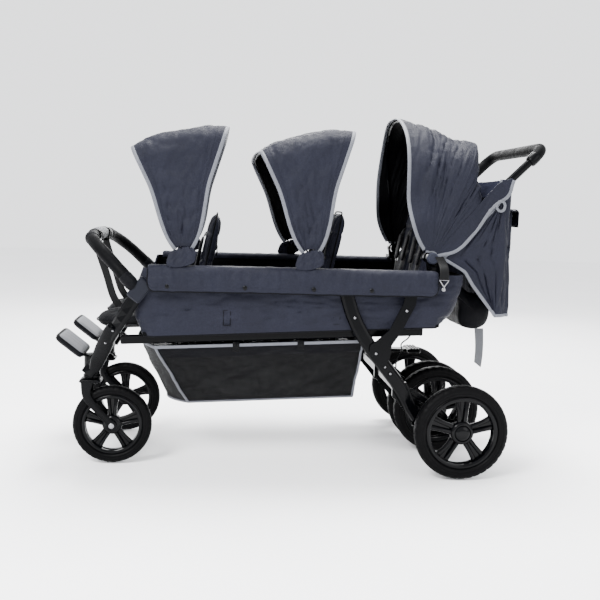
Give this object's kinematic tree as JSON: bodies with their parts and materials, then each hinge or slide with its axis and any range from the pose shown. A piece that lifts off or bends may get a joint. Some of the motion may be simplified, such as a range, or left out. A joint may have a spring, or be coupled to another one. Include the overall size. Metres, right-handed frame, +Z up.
{
  "type": "six-seat stroller",
  "caption": "Long pushchair with rows of paired seats in one cloth tub, small tilting canopies, a folding rear hood, a loop handle, swivelling front wheels and a basket below.",
  "frame": {"origin": "on the ground, below the centre of the bounding box", "axes": "+X from the front of the stroller to its rear, +Y to the stroller's right, +Z up"},
  "size_m": [1.4845, 0.7552, 1.0927],
  "materials": {
    "bright_steel": "bright drawn bar",
    "cloth_dark": "plain-woven nylon, slightly shiny",
    "cloth_grey": "light grey padded cloth",
    "collar_grey": "matte dark blue-grey",
    "foam_black": "soft closed-cell foam",
    "frame_black": "satin black powder coat",
    "gloss_black": "gloss black moulded",
    "mesh_black": "open knitted mesh with a woven band",
    "moulded_black": "fine matte moulded",
    "tyre_black": "matte foam rubber"
  },
  "bodies": {
    "chassis": {"left_side_rail": "frame_black", "right_side_rail": "frame_black", "left_lower_rail": "frame_black", "right_lower_rail": "frame_black", "left_front_leg": "frame_black", "right_front_leg": "frame_black", "left_collar": "collar_grey", "right_collar": "collar_grey", "front_carrier": "frame_black", "left_rear_leg": "frame_black", "right_rear_leg": "frame_black", "left_rear_arm": "frame_black", "right_rear_arm": "frame_black", "rear_subframe": "frame_black", "rear_axle": "bright_steel", "tub_liner": "cloth_dark", "basket": "mesh_black", "rear_pouch": "cloth_dark", "seat_cushion_row_1": "cloth_dark", "seat_cushion_row_2": "cloth_dark", "seat_cushion_row_3": "cloth_dark"},
    "left_fork_body": {"left_fork": "moulded_black"},
    "right_fork_body": {"right_fork": "moulded_black"},
    "front_left_wheel": {"front_left_rim": "gloss_black", "front_left_tyre": "tyre_black"},
    "front_right_wheel": {"front_right_rim": "gloss_black", "front_right_tyre": "tyre_black"},
    "rear_left_outer_wheel": {"rear_left_outer_rim": "gloss_black", "rear_left_outer_tyre": "tyre_black"},
    "rear_left_inner_wheel": {"rear_left_inner_rim": "gloss_black", "rear_left_inner_tyre": "tyre_black"},
    "rear_right_outer_wheel": {"rear_right_outer_rim": "gloss_black", "rear_right_outer_tyre": "tyre_black"},
    "rear_right_inner_wheel": {"rear_right_inner_rim": "gloss_black", "rear_right_inner_tyre": "tyre_black"},
    "row_1_left_seat_back": {"row_1_left_backrest": "cloth_dark"},
    "row_1_right_seat_back": {"row_1_right_backrest": "cloth_dark"},
    "row_2_left_seat_back": {"row_2_left_backrest": "cloth_dark"},
    "row_2_right_seat_back": {"row_2_right_backrest": "cloth_dark"},
    "row_3_left_seat_back": {"row_3_left_backrest": "cloth_dark"},
    "row_3_right_seat_back": {"row_3_right_backrest": "cloth_dark"},
    "push_handle": {"handle_tube": "frame_black", "handle_grip": "foam_black", "rear_cape": "cloth_dark", "storage_bag": "cloth_dark"},
    "hood_middle": {"hood_mid_bow": "frame_black", "hood_fabric": "cloth_dark"},
    "hood_front": {"hood_front_bow": "frame_black"},
    "canopy_1_rear": {"canopy_1_rear_hoop": "frame_black", "canopy_1_fabric": "cloth_dark"},
    "canopy_1_front": {"canopy_1_front_hoop": "frame_black"},
    "canopy_2_rear": {"canopy_2_rear_hoop": "frame_black", "canopy_2_fabric": "cloth_dark"},
    "canopy_2_front": {"canopy_2_front_hoop": "frame_black"},
    "left_foot_board": {"left_footrest": "cloth_grey"},
    "right_foot_board": {"right_footrest": "cloth_grey"},
    "bumper": {"bumper_bar": "foam_black"},
    "brake": {"brake_pedal": "moulded_black"}
  },
  "joints": [
    {"name": "left_caster_swivel", "type": "hinge", "parent": "chassis", "child": "left_fork_body", "pos_m": [-0.631, -0.19, 0.247], "axis": [0, 0, 1], "continuous": true},
    {"name": "front_left_wheel_spin", "type": "hinge", "parent": "left_fork_body", "child": "front_left_wheel", "pos_m": [-0.569, -0.19, 0.12], "axis": [0, 1, 0], "continuous": true},
    {"name": "rear_left_outer_wheel_spin", "type": "hinge", "parent": "chassis", "child": "rear_left_outer_wheel", "pos_m": [0.48, -0.352, 0.143], "axis": [0, 1, 0], "continuous": true},
    {"name": "rear_left_inner_wheel_spin", "type": "hinge", "parent": "chassis", "child": "rear_left_inner_wheel", "pos_m": [0.48, -0.052, 0.143], "axis": [0, 1, 0], "continuous": true},
    {"name": "row_1_left_recline", "type": "hinge", "parent": "chassis", "child": "row_1_left_seat_back", "pos_m": [-0.33, -0.109, 0.44575], "axis": [0, 1, 0], "range_deg": [0, 30]},
    {"name": "row_2_left_recline", "type": "hinge", "parent": "chassis", "child": "row_2_left_seat_back", "pos_m": [0.052, -0.109, 0.46294], "axis": [0, 1, 0], "range_deg": [0, 30]},
    {"name": "row_3_left_recline", "type": "hinge", "parent": "chassis", "child": "row_3_left_seat_back", "pos_m": [0.362, -0.109, 0.47689], "axis": [0, 1, 0], "range_deg": [0, 8]},
    {"name": "left_footrest_fold", "type": "hinge", "parent": "chassis", "child": "left_foot_board", "pos_m": [-0.631, -0.16, 0.3021], "axis": [0, 1, 0], "range_deg": [0, 35]},
    {"name": "right_caster_swivel", "type": "hinge", "parent": "chassis", "child": "right_fork_body", "pos_m": [-0.631, 0.19, 0.247], "axis": [0, 0, 1], "continuous": true},
    {"name": "front_right_wheel_spin", "type": "hinge", "parent": "right_fork_body", "child": "front_right_wheel", "pos_m": [-0.569, 0.19, 0.12], "axis": [0, 1, 0], "continuous": true},
    {"name": "rear_right_outer_wheel_spin", "type": "hinge", "parent": "chassis", "child": "rear_right_outer_wheel", "pos_m": [0.48, 0.352, 0.143], "axis": [0, 1, 0], "continuous": true},
    {"name": "rear_right_inner_wheel_spin", "type": "hinge", "parent": "chassis", "child": "rear_right_inner_wheel", "pos_m": [0.48, 0.052, 0.143], "axis": [0, 1, 0], "continuous": true},
    {"name": "row_1_right_recline", "type": "hinge", "parent": "chassis", "child": "row_1_right_seat_back", "pos_m": [-0.33, 0.109, 0.44575], "axis": [0, 1, 0], "range_deg": [0, 30]},
    {"name": "row_2_right_recline", "type": "hinge", "parent": "chassis", "child": "row_2_right_seat_back", "pos_m": [0.052, 0.109, 0.46294], "axis": [0, 1, 0], "range_deg": [0, 30]},
    {"name": "row_3_right_recline", "type": "hinge", "parent": "chassis", "child": "row_3_right_seat_back", "pos_m": [0.362, 0.109, 0.47689], "axis": [0, 1, 0], "range_deg": [0, 8]},
    {"name": "right_footrest_fold", "type": "hinge", "parent": "chassis", "child": "right_foot_board", "pos_m": [-0.631, 0.16, 0.3021], "axis": [0, 1, 0], "range_deg": [0, 35]},
    {"name": "bumper_lift", "type": "slide", "parent": "chassis", "child": "bumper", "axis": [-0.788, 0, 0.6157], "range_m": [0, 0.06]},
    {"name": "brake_press", "type": "hinge", "parent": "chassis", "child": "brake", "pos_m": [0.34, 0.17, 0.303], "axis": [0, 1, 0], "range_deg": [0, 14]},
    {"name": "handle_fold", "type": "hinge", "parent": "chassis", "child": "push_handle", "pos_m": [0.3815, 0, 0.659], "axis": [0, 1, 0], "range_deg": [-98, 0], "deforming": ["rear_cape"]},
    {"name": "hood_mid_fold", "type": "hinge", "parent": "chassis", "child": "hood_middle", "pos_m": [0.3815, 0, 0.659], "axis": [0, 1, 0], "range_deg": [-81, 0], "deforming": ["hood_fabric"]},
    {"name": "hood_front_close", "type": "hinge", "parent": "hood_middle", "child": "hood_front", "pos_m": [0.3815, 0, 0.659], "axis": [0, 1, 0], "range_deg": [0, 26]},
    {"name": "canopy_1_tilt", "type": "hinge", "parent": "chassis", "child": "canopy_1_rear", "pos_m": [-0.354, 0, 0.6455], "axis": [0, 1, 0], "range_deg": [-35, 0], "deforming": ["canopy_1_fabric"]},
    {"name": "canopy_1_close", "type": "hinge", "parent": "canopy_1_rear", "child": "canopy_1_front", "pos_m": [-0.354, 0, 0.6455], "axis": [0, 1, 0], "range_deg": [0, 38]},
    {"name": "canopy_2_tilt", "type": "hinge", "parent": "chassis", "child": "canopy_2_rear", "pos_m": [0.013, 0, 0.6455], "axis": [0, 1, 0], "range_deg": [-29.5, 0], "deforming": ["canopy_2_fabric"]},
    {"name": "canopy_2_close", "type": "hinge", "parent": "canopy_2_rear", "child": "canopy_2_front", "pos_m": [0.013, 0, 0.6455], "axis": [0, 1, 0], "range_deg": [0, 38]}
  ],
  "couplings": [
    {"joint": "hood_mid_fold", "follows": "handle_fold", "ratio": 0.8265},
    {"joint": "canopy_2_tilt", "follows": "handle_fold", "ratio": 0.3}
  ]
}
